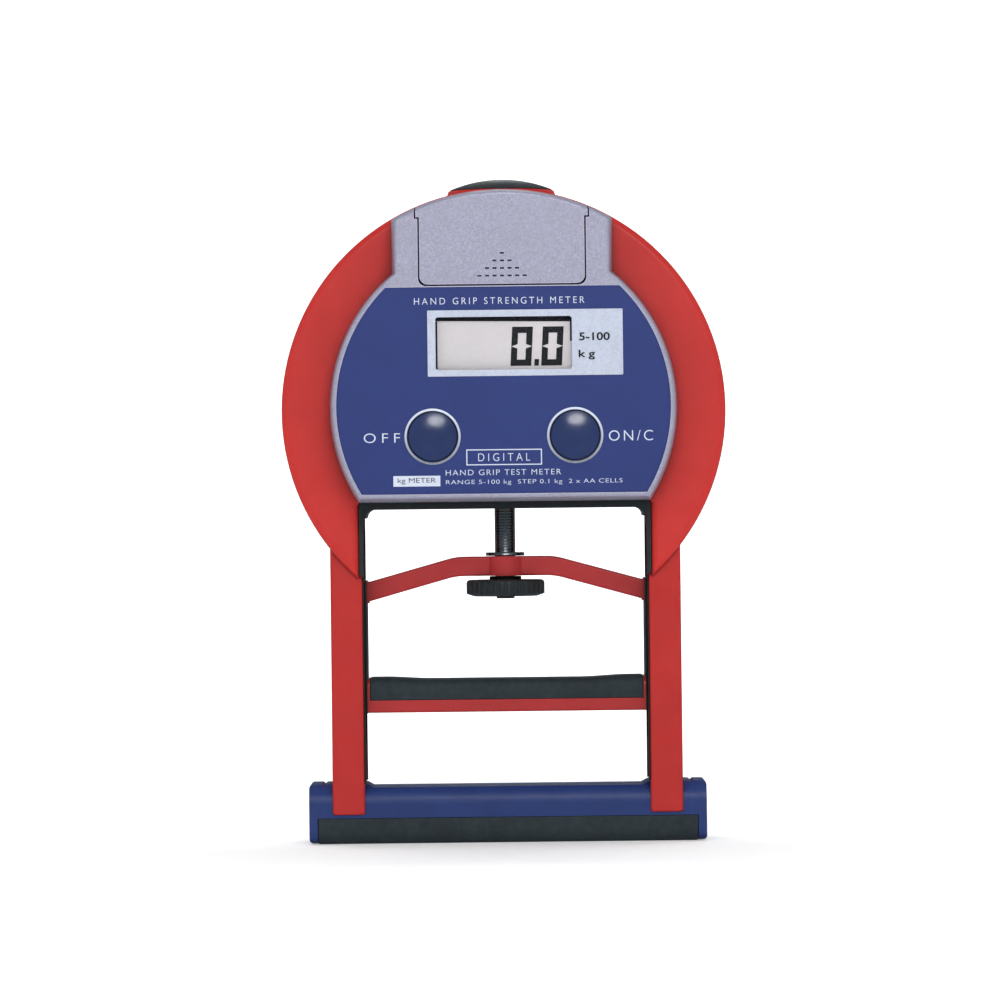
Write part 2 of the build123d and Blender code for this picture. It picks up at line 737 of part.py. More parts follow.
# A flat cable from the sensor board, through the cable hole, to the display board.
cable_end = (cable_hole[0], board_y[1])
cable_corner = (cable_hole[0], cable_y)
cable_path = FilletPolyline((sensor_board_x[0], cable_y), cable_corner, cable_end, radius=cable_bend_r)
cable_plane = Plane.XY.offset(cable_hole[1] - cable_size[1] / 2)
nodes["sensor_cable"] = extrude(cable_plane * trace(cable_path, cable_size[0]), cable_size[1])

# ---------------------------------------------------------------- display housing
def housing_outline(circle_r, neck_half, top_r, bottom_z):
    """A circle cut flat below, with a neck that rises to the body's own larger circle."""
    foot_x = sqrt(circle_r**2 - (housing_z - bottom_z) ** 2)
    shoulder_z = housing_z + sqrt(circle_r**2 - neck_half**2)
    crown_z = disc_z + sqrt(top_r**2 - neck_half**2)
    edges = [
        Line((-foot_x, bottom_z), (foot_x, bottom_z)),
        ThreePointArc((foot_x, bottom_z), (circle_r, housing_z), (neck_half, shoulder_z)),
        Line((neck_half, shoulder_z), (neck_half, crown_z)),
        ThreePointArc((neck_half, crown_z), (0, disc_z + top_r), (-neck_half, crown_z)),
        Line((-neck_half, crown_z), (-neck_half, shoulder_z)),
        ThreePointArc((-neck_half, shoulder_z), (-circle_r, housing_z), (-foot_x, bottom_z)),
    ]
    outline = make_face(Curve() + edges)
    return fillet([v for v in outline.vertices() if abs(v.Y - crown_z) < fit_gap], crown_r)


def thinner(sizes, wall):
    """The outline's sizes, with every side moved in by a wall."""
    smaller = {name: sizes[name] - wall for name in ("circle_r", "neck_half", "top_r")}
    return dict(smaller, bottom_z=sizes["bottom_z"] + wall)


def drafted(back_sizes, front_sizes, back, front):
    """A solid whose outline changes evenly from the back to the front."""
    sections = [
        Plane.XZ.offset(-back) * housing_outline(**back_sizes),
        Plane.XZ.offset(-front) * housing_outline(**front_sizes),
    ]
    return loft(sections, ruled=True)


def rounded_rectangle(size, centre, radius):
    return Pos(*centre) * RectangleRounded(size[0], size[1], radius)


housing_solid = drafted(housing_back, housing_front, housing_back_y, front_y)
front_edges = housing_solid.faces().sort_by(Axis.Y)[0].edges()
housing_solid = fillet(front_edges, housing_edge_r)
inner_front_y = front_y + front_wall
inner_front = thinner(housing_front, side_wall * 0.75)
housing_room = drafted(thinner(housing_back, side_wall), inner_front, housing_back_y, inner_front_y)
housing = housing_solid - housing_room


def panel_outline():
    circle = Pos(0, housing_z) * Circle(panel_r)
    height = panel_top_z - panel_bottom_z
    return circle & (Pos(0, (panel_top_z + panel_bottom_z) / 2) * Rectangle(3 * panel_r, height))


def door_opening(gap):
    """The door's outline, larger by a gap, open above the housing."""
    low_z = door_bottom_z - gap
    step_z = door_step_z - gap
    upper_size = (2 * (door_top_half_width + gap), top_z - step_z)
    lower_size = (2 * (door_half_width + gap), cap_edge_z - low_z)
    upper = Pos(0, step_z + upper_size[1] / 2) * Rectangle(*upper_size)
    return upper + rounded_rectangle(lower_size, (0, low_z + lower_size[1] / 2), door_corner_r)


panel_front_y = front_y + panel_recess
panel_back_y = panel_front_y + panel_thick
panel_sketch = panel_outline()
bezel_sketch = rounded_rectangle(bezel_size, bezel_centre, bezel_corner_r)
window_sketch = rounded_rectangle(window_size, window_centre, window_corner_r)
glass_size = (window_size[0] + 2 * glass_lap, window_size[1] + 2 * glass_lap)
glass_sketch = rounded_rectangle(glass_size, window_centre, window_corner_r)
glass_front_y = front_y + glass_recess
wall_back_y = inner_front_y + side_wall
button_hole_r = button_r + slide_gap
button_places = [(-button_x, button_z), (button_x, button_z)]

housing -= plate(offset(panel_sketch, fit_gap / 2), front_y, panel_back_y)
housing -= plate(window_sketch, front_y, wall_back_y)
housing -= plate(door_opening(door_gap), front_y, housing_back_y - side_wall / 2)
housing -= plate(glass_sketch, glass_front_y, wall_back_y)
for x, z in button_places:
    housing -= rod_along_y(button_hole_r, (front_y, wall_back_y), x, z)
for x, z in housing_screws:
    housing += rod_along_y(housing_boss_r, (inner_front_y, housing_back_y), x, z)
    housing -= rod_along_y(screw_r, (housing_screw_tip_y - 1, housing_back_y), x, z)
board_screw_tip_y = inner_front_y + side_wall
for x, z in board_screws:
    housing += rod_along_y(board_boss_r, (inner_front_y, board_y[0]), x, z)
    housing -= rod_along_y(board_screw_r, (board_screw_tip_y, board_y[0]), x, z)
nodes["display_housing"] = housing

# Face panel, bezel, window and the rings round the buttons
panel = plate(panel_sketch - bezel_sketch, panel_front_y, panel_back_y)
for x, z in button_places:
    panel -= rod_along_y(button_hole_r, (panel_front_y, panel_back_y), x, z)
nodes["face_panel"] = panel
nodes["lcd_bezel"] = plate(bezel_sketch - window_sketch, front_y, panel_back_y)
nodes["lcd_window"] = plate(glass_sketch, glass_front_y, inner_front_y)


def button_ring(x, z):
    ring_y = (front_y, panel_front_y)
    return rod_along_y(ring_r, ring_y, x, z) - rod_along_y(ring_r - ring_width, ring_y, x, z)


nodes["button_rings"] = Compound([button_ring(x, z) for x, z in button_places])

def button(x, z):
    """A domed cap, turned about Y, with a retaining flange and a stem behind it."""
    dome_r = (button_r**2 + button_proud**2) / (2 * button_proud)
    dome_top_y = front_y - button_proud
    middle_r = button_r / 2
    middle_y = dome_top_y + dome_r - sqrt(dome_r**2 - middle_r**2)
    flange_r = button_r + button_flange
    flange_y = (inner_front_y + slide_gap, inner_front_y + slide_gap + panel_thick)
    stem_r = 2.0
    stem_y = switch_y - button_travel - slide_gap
    side = [(button_r, front_y), (button_r, flange_y[0]), (flange_r, flange_y[0]), (flange_r, flange_y[1])]
    side += [(stem_r, flange_y[1]), (stem_r, stem_y), (0, stem_y), (0, dome_top_y)]
    dome = ThreePointArc((0, dome_top_y), (middle_r, middle_y), (button_r, front_y))
    profile = make_face(Curve() + [dome, *Polyline(*side).edges()])
    return Pos(x, 0, z) * revolve(profile, Axis.Y)


def switch(x, z):
    x_limits = (x - switch_half, x + switch_half)
    return block(x_limits, (switch_y, board_y[0]), (z - switch_half, z + switch_half))


nodes["off_button"] = button(*button_places[0])
nodes["on_button"] = button(*button_places[1])
nodes["button_switches"] = Compound([switch(x, z) for x, z in button_places])

# Electronics
module_sketch = rounded_rectangle(module_size, window_centre, window_corner_r)
nodes["lcd_module"] = plate(module_sketch, inner_front_y + fit_gap, module_back_y)

board_sketch = (Pos(0, disc_z) * Circle(board_r)) & (Pos(0, board_centre_z) * Rectangle(*board_size))
board = plate(board_sketch, *board_y)
for x, z in board_screws:
    board -= rod_along_y(board_screw_r + fit_gap, board_y, x, z)
for x, z in housing_screws:
    board -= rod_along_y(housing_boss_r + slide_gap, board_y, x, z)
nodes["display_board"] = board


def board_screw(x, z):
    return screw_along_y(board_y[1], board_screw_tip_y + 1, x, z, head=board_head_r, shank=board_screw_r)


nodes["board_screws"] = Compound([board_screw(x, z) for x, z in board_screws])
chip_y = (board_y[1], board_y[1] + chip_height)
capacitor_y = (board_y[1], board_y[1] + capacitor_height)
chips = [block(x, chip_y, z) for x, z in (large_chip, small_chip)]
chips.append(rod_along_y(capacitor_r, capacitor_y, *capacitor_place))
nodes["board_components"] = Compound(chips)

# Battery tray, cells and contacts
tray_floor_y = (tray_y[1], housing_back_y - fit_gap)
tray = block((-tray_x, tray_x), tray_floor_y, tray_z)
tray += block((-tray_x, tray_x), tray_y, (tray_z[0], tray_z[0] + tray_wall))
nodes["battery_tray"] = tray + pair(block((tray_x - tray_wall, tray_x), tray_y, tray_z))


def cell(z, way):
    """An AA cell along X, with its nub at the end that way points to."""
    half = cell_length / 2
    nub_r, nub_length = cell_nub
    shoulder = half - nub_length
    can = rod_along_x(cell_r, sorted((-way * half, way * shoulder)), cell_y, z)
    return can + rod_along_x(nub_r, sorted((way * shoulder, way * half)), cell_y, z)


nodes["lower_cell"] = cell(cell_z[0], 1)
nodes["upper_cell"] = cell(cell_z[1], -1)

contact_x = (tray_x - tray_wall - contact_thick, tray_x - tray_wall)
contact_y = (cell_y - contact_half, cell_y + contact_half)
contacts = [block(contact_x, contact_y, (z - contact_half, z + contact_half)) for z in cell_z]
nodes["contact_plates"] = pair(Compound(contacts))


def contact_spring(z, way):
    """Three rings that narrow towards the cell's flat end."""
    for k, ring in enumerate(contact_rings):
        x = way * (contact_x[0] - contact_wire_r - running_gap - contact_pitch * k)
        yield Pos(x, cell_y, z) * Rot(0, 90, 0) * Torus(ring, contact_wire_r)


nodes["contact_springs"] = Compound([*contact_spring(cell_z[0], -1), *contact_spring(cell_z[1], 1)])

# Battery door: the front plate, the roof above it and the tongues that hold it in
button_front_y = front_y - button_proud
door_back_y = housing_back_y - 0.6 * side_wall
door = (housing_solid & plate(door_opening(0), button_front_y, door_back_y)) - housing_room
tongue_y = (inner_front_y + slide_gap, inner_front_y + slide_gap + tongue_thick)
tongue_half = door_top_half_width - 2 * fit_gap
tongue_z = (door_bottom_z + side_wall, tongue_top_z)
door += block((-door_half_width, door_half_width), (inner_front_y, tongue_y[0]), tongue_z)
door += block((-tongue_half, tongue_half), tongue_y, tongue_z)

# A triangle of small sunk dashes gives the thumb a hold.
for row in range(dash_rows):
    z = dash_top_z - row * dash_pitch
    for column in range(-row, row + 1):
        dash = Pos(column * dash_pitch, z) * Rectangle(*dash_size)
        door -= plate(dash, front_y, front_y + dash_depth)
nodes["battery_door"] = door

os.makedirs("parts", exist_ok=True)
for name, shape in nodes.items():
    export_step(shape, f"parts/{name}.step")
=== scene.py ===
"""Looks for the hand dynamometer, around its CAD frame: materials, pads, print, display, studio."""

import json
import math

import bpy
from mathutils import Matrix, Vector, noise


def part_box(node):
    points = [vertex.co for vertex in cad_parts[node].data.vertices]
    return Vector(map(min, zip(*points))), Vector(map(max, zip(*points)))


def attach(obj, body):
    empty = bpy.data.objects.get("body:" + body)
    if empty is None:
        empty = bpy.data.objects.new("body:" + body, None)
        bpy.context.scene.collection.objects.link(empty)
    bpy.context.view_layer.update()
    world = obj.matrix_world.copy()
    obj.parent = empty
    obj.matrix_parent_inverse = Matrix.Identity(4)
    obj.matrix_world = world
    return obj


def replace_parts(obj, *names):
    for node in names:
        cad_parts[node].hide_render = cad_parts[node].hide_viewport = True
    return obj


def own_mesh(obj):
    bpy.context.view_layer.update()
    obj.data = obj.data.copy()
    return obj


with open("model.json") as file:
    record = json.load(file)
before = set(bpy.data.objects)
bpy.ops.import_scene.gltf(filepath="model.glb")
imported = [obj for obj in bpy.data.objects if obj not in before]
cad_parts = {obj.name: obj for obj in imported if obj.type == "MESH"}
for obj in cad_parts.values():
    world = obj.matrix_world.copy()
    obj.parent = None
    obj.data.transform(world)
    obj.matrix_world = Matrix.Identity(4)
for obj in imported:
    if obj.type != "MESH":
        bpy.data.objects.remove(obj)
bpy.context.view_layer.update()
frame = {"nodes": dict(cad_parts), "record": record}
nodes = frame["nodes"]
MM = 0.001


# ---------------------------------------------------------------- colours
def srgb(red, green, blue):
    """A colour given as 0 to 255 in sRGB, as Blender's linear values."""
    linear = []
    for value in (red, green, blue):
        v = value / 255
        linear.append(v / 12.92 if v <= 0.04045 else ((v + 0.055) / 1.055) ** 2.4)
    return (*linear, 1.0)


def scaled(colour, factor):
    """The colour made lighter or darker, up to full white."""
    return (*(min(1.0, c * factor) for c in colour[:3]), 1.0)


class Shader:
    """A Principled material with small helpers for its node tree."""

    def __init__(self, name):
        self.material = bpy.data.materials.new(name)
        self.material.use_nodes = True
        self.tree = self.material.node_tree
        self.principled = self.tree.nodes["Principled BSDF"]
        coordinates = self.add("ShaderNodeTexCoord")
        self.place = coordinates.outputs["Object"]

    def add(self, kind, **settings):
        """A new node, with its inputs or its own properties set."""
        node = self.tree.nodes.new(kind)
        for key, value in settings.items():
            if key in node.inputs.keys():
                node.inputs[key].default_value = value
            else:
                setattr(node, key, value)
        return node

    def link(self, source, target):
        self.tree.links.new(source, target)

    def set(self, **values):
        """Constant values straight on the shader's inputs, named with _ for a space."""
        for key, value in values.items():
            self.principled.inputs[key.replace("_", " ")].default_value = value

    def noise(self, per_metre, detail=3.0, roughness=0.55, stretch=None):
        """Noise whose features are about 1/per_metre across; stretch draws it out along an axis."""
        node = self.add("ShaderNodeTexNoise", Scale=per_metre, Detail=detail, Roughness=roughness)
        place = self.place
        if stretch:
            mapping = self.add("ShaderNodeMapping")
            mapping.inputs["Scale"].default_value = stretch
            self.link(place, mapping.inputs["Vector"])
            place = mapping.outputs["Vector"]
        self.link(place, node.inputs["Vector"])
        return node.outputs["Fac"]

    def cells(self, per_metre):
        """Voronoi cells: their distance output, and a random value for each cell."""
        node = self.add("ShaderNodeTexVoronoi", Scale=per_metre)
        self.link(self.place, node.inputs["Vector"])
        split = self.add("ShaderNodeSeparateColor")
        self.link(node.outputs["Color"], split.inputs["Color"])
        return node.outputs["Distance"], split.outputs

    def between(self, factor, low, high, start=0.3, end=0.7):
        """Maps start to end onto low to high."""
        node = self.add("ShaderNodeMapRange")
        for key, value in zip(("From Min", "From Max", "To Min", "To Max"), (start, end, low, high)):
            node.inputs[key].default_value = value
        self.link(factor, node.inputs["Value"])
        return node.outputs["Result"]

    def blend(self, factor, first, second):
        """Mixes two colours, each a colour or another node's output."""
        node = self.add("ShaderNodeMix", data_type="RGBA")
        for socket, value in zip((node.inputs[0], node.inputs[6], node.inputs[7]), (factor, first, second)):
            if isinstance(value, bpy.types.NodeSocket):
                self.link(value, socket)
            else:
                socket.default_value = value
        return node.outputs[2]

    def edges(self, radius):
        """1 on edges within a radius, 0 on flat ground."""
        bevel = self.add("ShaderNodeBevel", Radius=radius)
        bevel.samples = 4
        geometry = self.add("ShaderNodeNewGeometry")
        dot = self.add("ShaderNodeVectorMath", operation="DOT_PRODUCT")
        self.link(bevel.outputs["Normal"], dot.inputs[0])
        self.link(geometry.outputs["Normal"], dot.inputs[1])
        return self.between(dot.outputs["Value"], 0.0, 1.0, 0.98, 0.75)

    def occlusion_shade(self, distance, depth, open_at=0.85):
        """Painted shade from ambient occlusion: 0 in the open, up to depth in creases and corners within a
        distance.
        """
        occlusion = self.add("ShaderNodeAmbientOcclusion", Distance=distance)
        occlusion.samples = 6
        return self.between(occlusion.outputs["AO"], depth, 0.0, open_at - 0.6, open_at)

    def bump(self, *layers):
        """Stacks bumps, each (height output, distance in metres, strength)."""
        normal = None
        for height, distance, strength in layers:
            node = self.add("ShaderNodeBump", Distance=distance, Strength=strength)
            self.link(height, node.inputs["Height"])
            if normal:
                self.link(normal, node.inputs["Normal"])
            normal = node.outputs["Normal"]
        self.link(normal, self.principled.inputs["Normal"])

    def colour(self, output):
        self.link(output, self.principled.inputs["Base Color"])

    def rough(self, output):
        self.link(output, self.principled.inputs["Roughness"])


# ---------------------------------------------------------------- materials
def enamel(name, colour, rough=0.36, edge_highlight_and_wear=0.3):
    """Sprayed enamel: faint mottling, orange peel, a painted shade in the creases and corners, and a
    painted highlight along the edges in uneven patches.
    """
    s = Shader(name)
    mottled = s.blend(s.between(s.noise(55), 0, 1), scaled(colour, 0.94), scaled(colour, 1.05))
    speck = s.between(s.noise(1900, 2), 0, 1, 0.62, 0.74)
    mottled = s.blend(speck, mottled, scaled(colour, 1.12))
    # Painted highlight: the edges are lightened, unevenly, towards 1.9 times the colour.
    worn_and_highlighted = s.blend(s.between(s.noise(240), 0.05, edge_highlight_and_wear), mottled, scaled(colour, 1.9))
    edged = s.blend(s.edges(0.35 * MM), mottled, worn_and_highlighted)
    # Painted shade: creases and corners are darkened towards a quarter of the colour.
    s.colour(s.blend(s.occlusion_shade(5 * MM, 0.75), edged, scaled(colour, 0.25)))
    s.rough(s.between(s.noise(160), rough - 0.05, rough + 0.08))
    s.bump((s.noise(700, 2), 0.05 * MM, 0.35), (s.noise(2600, 2), 0.02 * MM, 0.3))
    s.set(Specular_IOR_Level=0.28)
    return s.material


def metallic_paint(name, colour, rough=0.42):
    """Silver paint with fine flakes that catch the light one by one, a painted highlight along its edges
    and a dark teal painted shade in its creases and corners.
    """
    s = Shader(name)
    _, flake = s.cells(2600)
    _, cluster = s.cells(1250)
    sparkle = s.between(flake["Red"], 0, 1, 0.2, 1.0)
    base = s.blend(sparkle, scaled(colour, 0.86), scaled(colour, 1.2))
    base = s.blend(s.between(cluster["Red"], 0, 0.45, 0.35, 1.0), base, scaled(colour, 0.8))
    cloud = s.blend(s.between(s.noise(90), 0, 0.5), base, scaled(colour, 0.95))
    # Painted highlight: the edges are lightened to 1.7 times the colour.
    edged = s.blend(s.edges(0.45 * MM), cloud, scaled(colour, 1.7))
    # Painted shade: creases, corners and walls near other parts are darkened towards a dark teal.
    s.colour(s.blend(s.occlusion_shade(16 * MM, 0.95, 0.99), edged, srgb(40, 60, 78)))
    s.rough(s.between(flake["Green"], rough - 0.1, rough + 0.12, 0, 1))
    s.bump((flake["Blue"], 0.03 * MM, 0.5), (s.noise(600, 2), 0.04 * MM, 0.25))
    s.set(Metallic=0.25, Specular_IOR_Level=0.35)
    return s.material


def moulded(name, colour, rough=0.5, grain=1500, depth=0.03, edge_highlight_and_wear=0.2):
    """Moulded plastic: fine spark-eroded grain, a painted highlight along the edges and a painted shade in
    the creases and corners.
    """
    s = Shader(name)
    mottled = s.blend(s.between(s.noise(70), 0, 1), scaled(colour, 0.9), scaled(colour, 1.08))
    # Painted highlight: the edges are lightened towards 2.4 times the colour.
    edged = s.blend(s.edges(0.4 * MM), mottled, s.blend(edge_highlight_and_wear, mottled, scaled(colour, 2.4)))
    # Painted shade: creases and corners are darkened towards 0.3 of the colour.
    s.colour(s.blend(s.occlusion_shade(3 * MM, 0.6), edged, scaled(colour, 0.3)))
    s.rough(s.between(s.noise(grain / 2), rough - 0.06, rough + 0.08))
    s.bump((s.noise(grain, 2), depth * MM, 0.5))
    s.set(Specular_IOR_Level=0.3)
    return s.material


def film(name, colour, rough=0.45, grain=0.05):
    """Printed polyester film over a flat panel."""
    s = Shader(name)
    _, fleck = s.cells(1500)
    cloud = s.blend(s.between(s.noise(45), 0, 1), scaled(colour, 0.96), scaled(colour, 1.04))
    s.colour(s.blend(s.between(fleck["Red"], 0, 0.5, 0.4, 1.0), cloud, scaled(colour, 1 - 2 * grain)))
    s.rough(s.between(s.noise(900, 2), rough - 0.05, rough + 0.07))
    s.bump((s.noise(2400, 2), 0.012 * MM, 0.4))
    s.set(Specular_IOR_Level=0.25)
    return s.material


def ring_print(name, colour, centre, radius):
    """A printed ring round each button, bright above and darker below as painted light and shade, with a
    dark line inside it.
    """
    s = Shader(name)
    split = s.add("ShaderNodeSeparateXYZ")
    s.link(s.place, split.inputs["Vector"])
    side = s.add("ShaderNodeMath", operation="ABSOLUTE")
    s.link(split.outputs["X"], side.inputs[0])
    offset = s.add("ShaderNodeCombineXYZ")
    s.link(side.outputs["Value"], offset.inputs["X"])
    s.link(split.outputs["Z"], offset.inputs["Z"])
    away = s.add("ShaderNodeVectorMath", operation="DISTANCE")
    away.inputs[1].default_value = (centre[0], 0, centre[1])
    s.link(offset.outputs["Vector"], away.inputs[0])
    # Painted light and shade: the ring is lighter towards its top and darkened to 0.3 of its colour towards
    # its bottom.
    lit_above_shaded_below = s.blend(s.between(split.outputs["Z"], 0, 1, centre[1] - radius, centre[1] + radius),
                    scaled(colour, 0.3), colour)
    _, fleck = s.cells(1500)
    flecked = s.blend(s.between(fleck["Red"], 0, 0.3, 0.4, 1.0), lit_above_shaded_below, scaled(colour, 0.6))
    line = s.between(away.outputs["Value"], 0, 1, radius - 0.25 * MM, radius - 0.1 * MM)
    s.colour(s.blend(line, srgb(24, 30, 56), flecked))
    s.rough(s.between(s.noise(900, 2), 0.35, 0.5))
    s.bump((s.noise(2400, 2), 0.012 * MM, 0.4))
    s.set(Specular_IOR_Level=0.25)
    return s.material


def lens_cap(name, colour):
    """The glossy dome of a button: clear coat over blue, with a painted shade darkening it round its rim.
    """
    s = Shader(name)
    cloud = s.blend(s.between(s.noise(120), 0, 1), scaled(colour, 0.9), scaled(colour, 1.1))
    # Painted shade: the dome's rim is darkened towards a fifth of the colour.
    s.colour(s.blend(s.edges(0.9 * MM), cloud, scaled(colour, 0.2)))
    s.rough(s.between(s.noise(400, 2), 0.17, 0.22))
    s.bump((s.noise(900, 2), 0.01 * MM, 0.3))
    s.set(Specular_IOR_Level=0.6)
    return s.material


def rubber(name, colour):
    """Moulded rubber: matt, faintly dusty, with a fine pebble."""
    s = Shader(name)
    dust = s.between(s.noise(320, 5), 0, 0.3, 0.45, 0.8)
    ground = s.blend(s.between(s.noise(60), 0, 1), scaled(colour, 0.85), scaled(colour, 1.15))
    s.colour(s.blend(dust, ground, scaled(colour, 2.0)))
    s.rough(s.between(s.noise(500), 0.62, 0.8))
    pebble, _ = s.cells(1300)
    s.bump((pebble, 0.05 * MM, 0.45), (s.noise(2500), 0.02 * MM, 0.4))
    s.set(Specular_IOR_Level=0.35)
    return s.material


def metal(name, colour, rough=0.3, stretch=None, depth=0.01, thread=None):
    """Bare or plated metal with turning or brushing marks along one way, and fine rings at a pitch."""
    s = Shader(name)
    marks = s.noise(900, 3, 0.6, stretch)
    s.colour(s.blend(s.between(marks, 0, 1), scaled(colour, 0.88), scaled(colour, 1.1)))
    s.rough(s.between(marks, rough - 0.07, rough + 0.1))
    layers = [(marks, depth * MM, 0.5)]
    if thread:
        rings = s.add("ShaderNodeTexWave", Scale=0.314 / thread, bands_direction="Z")
        s.link(s.place, rings.inputs["Vector"])
        layers.append((rings.outputs["Fac"], 0.1 * thread, 1.0))
    s.bump(*layers)
    s.set(Metallic=1.0)
    return s.material


def clear(name):
    """A thin clear window that lets the light and its shadows through."""
    s = Shader(name)
    s.set(Alpha=0.04, Base_Color=srgb(60, 62, 64))
    s.rough(s.between(s.noise(500), 0.03, 0.07))
    return s.material


def circuit_board(name):
    """Solder mask over copper tracks."""
    s = Shader(name)
    s.colour(s.blend(s.between(s.noise(400), 0, 1), srgb(18, 74, 44), srgb(30, 96, 58)))
    s.rough(s.between(s.noise(600), 0.3, 0.45))
    s.bump((s.noise(1200), 0.03 * MM, 0.4))
    return s.material


RING_CENTRE = (24.6 * MM, 141.9 * MM)
RING_RADIUS = 9.1 * MM
ALONG_Z = (1, 1, 0.02)
ROUND_Z = (0.05, 0.05, 1)
LOOKS = {
    "cover_red": enamel("red_cover_enamel", srgb(196, 47, 43)),
    "arm_red": enamel("red_arm_enamel", srgb(181, 41, 38), edge_highlight_and_wear=0.45),
    "grip_red": enamel("red_grip_enamel", srgb(168, 45, 46), edge_highlight_and_wear=0.45),
    "silver_shell": metallic_paint("silver_paint", srgb(169, 168, 189)),
    "panel_blue": film("panel_film", srgb(42, 57, 118)),
    "bezel_silver": film("bezel_film", srgb(192, 199, 216), rough=0.34, grain=0.12),
    "lcd_window": clear("display_window"),
    "lcd_module": film("display_ground", srgb(220, 215, 217), rough=0.5, grain=0.04),
    "button_blue": lens_cap("button_lens", srgb(38, 52, 94)),
    "button_ring": ring_print("ring_print", srgb(214, 222, 238), RING_CENTRE, RING_RADIUS),
    "handle_blue": moulded("blue_plastic", srgb(36, 56, 112), rough=0.42),
    "black_rubber": rubber("black_rubber", srgb(37, 47, 52)),
    "black_plastic": moulded("black_plastic", srgb(40, 45, 47), rough=0.38),
    "black_metal": moulded("black_anodised", srgb(30, 32, 34), rough=0.4, depth=0.01),
    "nylon": moulded("dark_nylon", srgb(26, 27, 29), rough=0.5),
    "dark_steel": metal("polished_dark_steel", srgb(150, 155, 158), rough=0.26, stretch=ALONG_Z,
                        thread=1 * MM),
    "steel": metal("zinc_plate", srgb(190, 190, 188), rough=0.3),
    "spring_steel": metal("spring_wire", srgb(110, 110, 112), rough=0.3, stretch=ROUND_Z),
    "chassis_metal": metal("cast_aluminium", srgb(178, 180, 182), rough=0.45, depth=0.05),
    "brass": metal("turned_brass", srgb(196, 164, 96), rough=0.28, stretch=ROUND_Z),
    "board_green": circuit_board("circuit_board"),
    "cable_grey": moulded("flat_cable", srgb(160, 162, 166), rough=0.4),
    "cell_case": metal("cell_sleeve", srgb(128, 132, 140), rough=0.35),
}
for row in frame["record"]["subparts"]:
    node = nodes[row["node"]]
    node.data.materials.clear()
    node.data.materials.append(LOOKS[row["material_slot"]])


# ---------------------------------------------------------------- mesh helpers
SHARP_ANGLE = math.radians(35)


def finished(name, data, look, body):
    """Puts a mesh in the scene as a piece with its material and body."""
    data.name = name
    data.materials.clear()
    data.materials.append(look)
    piece = bpy.data.objects.new(name, data)
    bpy.context.scene.collection.objects.link(piece)
    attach(piece, body)
    return piece


def mesh_object(name, verts, faces, look, body, slot, smooth=False):
    """A piece made of vertices and faces in metres."""
    data = bpy.data.meshes.new(name)
    data.from_pydata(verts, [], faces)
    data.update()
    for polygon in data.polygons:
        polygon.use_smooth = smooth
    return finished(name, data, look, body)


def slab(outline, front, back):
    """Vertices and faces of an (x, z) outline between two Y values."""
    count = len(outline)
    verts = [(x, front, z) for x, z in outline] + [(x, back, z) for x, z in outline]
    faces = [tuple(range(count)), tuple(range(2 * count - 1, count - 1, -1))]
    faces += [(k, k + count, (k + 1) % count + count, (k + 1) % count) for k in range(count)]
    return verts, faces


def joined(slabs):
    """The vertices and faces of several slabs as those of one mesh."""
    verts, faces = [], []
    for more_verts, more_faces in slabs:
        start = len(verts)
        verts += more_verts
        faces += [tuple(start + k for k in face) for face in more_faces]
    return verts, faces


def rectangle(centre, width, height):
    """The (x, z) outline of a rectangle."""
    x, z = centre
    return [(x - width / 2, z - height / 2), (x + width / 2, z - height / 2),
            (x + width / 2, z + height / 2), (x - width / 2, z + height / 2)]


# ---------------------------------------------------------------- rubber pads
STATIONS = 150
UNEVEN = 0.09 * MM
PAD_RISE_START = 26 * MM
PAD_RISE_LENGTH = 17 * MM


def uneven(point, per_metre=60):
    """The slight unevenness of a moulded rubber face, between -UNEVEN and 0."""
    return -UNEVEN * (0.5 + 0.5 * noise.noise(Vector(point) * per_metre))


def corner_arc(centre, radius, start, end, steps=6):
    """Points of an arc in Y and Z, with its angles in degrees."""
    for k in range(steps + 1):
        angle = math.radians(start + (end - start) * k / steps)
        yield centre[0] + radius * math.cos(angle), centre[1] + radius * math.sin(angle)


def swept(name, sections, body, closed_ends):
    """A rubber piece through sections of equal count, each a list of (x, y, z)."""
    count = len(sections[0])
    verts = [point for section in sections for point in section]
    faces = []
    for k in range(len(sections) - 1):
        for j in range(count):
            a, b = k * count + j, k * count + (j + 1) % count
            faces.append((a, b, b + count, a + count))
    last = (len(sections) - 1) * count
    for face in closed_ends(count):
        faces.append(tuple(reversed(face)))
        faces.append(tuple(last + j for j in face))
    look = LOOKS["black_rubber"]
    piece = mesh_object(name, verts, faces, look, body, "black_rubber", smooth=True)
    piece.data.set_sharp_from_angle(angle=SHARP_ANGLE)
    return piece


def stations(low_x, high_x, inset):
    """Places along X, closer together at both ends, with how far each end is rounded over there."""
    for k in range(STATIONS + 1):
        along = 0.5 - 0.5 * math.cos(math.pi * k / STATIONS)
        x = low_x + (high_x - low_x) * along
        near = min(x - low_x, high_x - x)
        lost = inset - math.sqrt(max(0.0, inset**2 - max(0.0, inset - near) ** 2))
        yield x, lost


